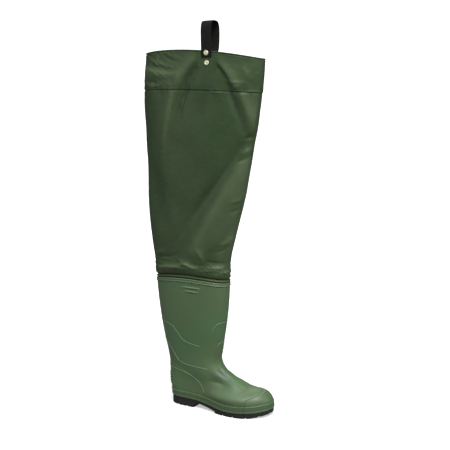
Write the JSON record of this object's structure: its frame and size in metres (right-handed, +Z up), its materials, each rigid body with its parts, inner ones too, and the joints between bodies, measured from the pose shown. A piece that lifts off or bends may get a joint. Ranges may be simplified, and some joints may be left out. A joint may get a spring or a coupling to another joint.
{
  "type": "hip wader",
  "caption": "Thigh-high wading boot for the right foot: moulded rubber boot with a lugged sole, tall soft fabric leg, hem and webbing hanging loop.",
  "frame": {"origin": "middle of the heel's tread face, on the floor", "axes": "+X towards the toe, +Y towards the inner side of the right foot, +Z up the leg"},
  "size_m": [0.3601, 0.1151, 0.9712],
  "materials": {
    "tread_rubber": "matt near-black moulded rubber",
    "insole_felt": "plain dark felted insole",
    "boot_rubber": "satin mid-green moulded rubber",
    "band_rubber": "matt dark green welded band",
    "leg_fabric": "matt dark green coated fabric with soft folds",
    "webbing": "black woven webbing",
    "rivet_metal": "pale brass cap"
  },
  "bodies": {
    "root": {"outsole": "tread_rubber", "insole": "insole_felt", "boot_upper": "boot_rubber", "joint_band": "band_rubber", "leg": "leg_fabric", "hanger_loop": "webbing", "rivet_upper": "rivet_metal", "rivet_lower": "rivet_metal"}
  },
  "joints": []
}
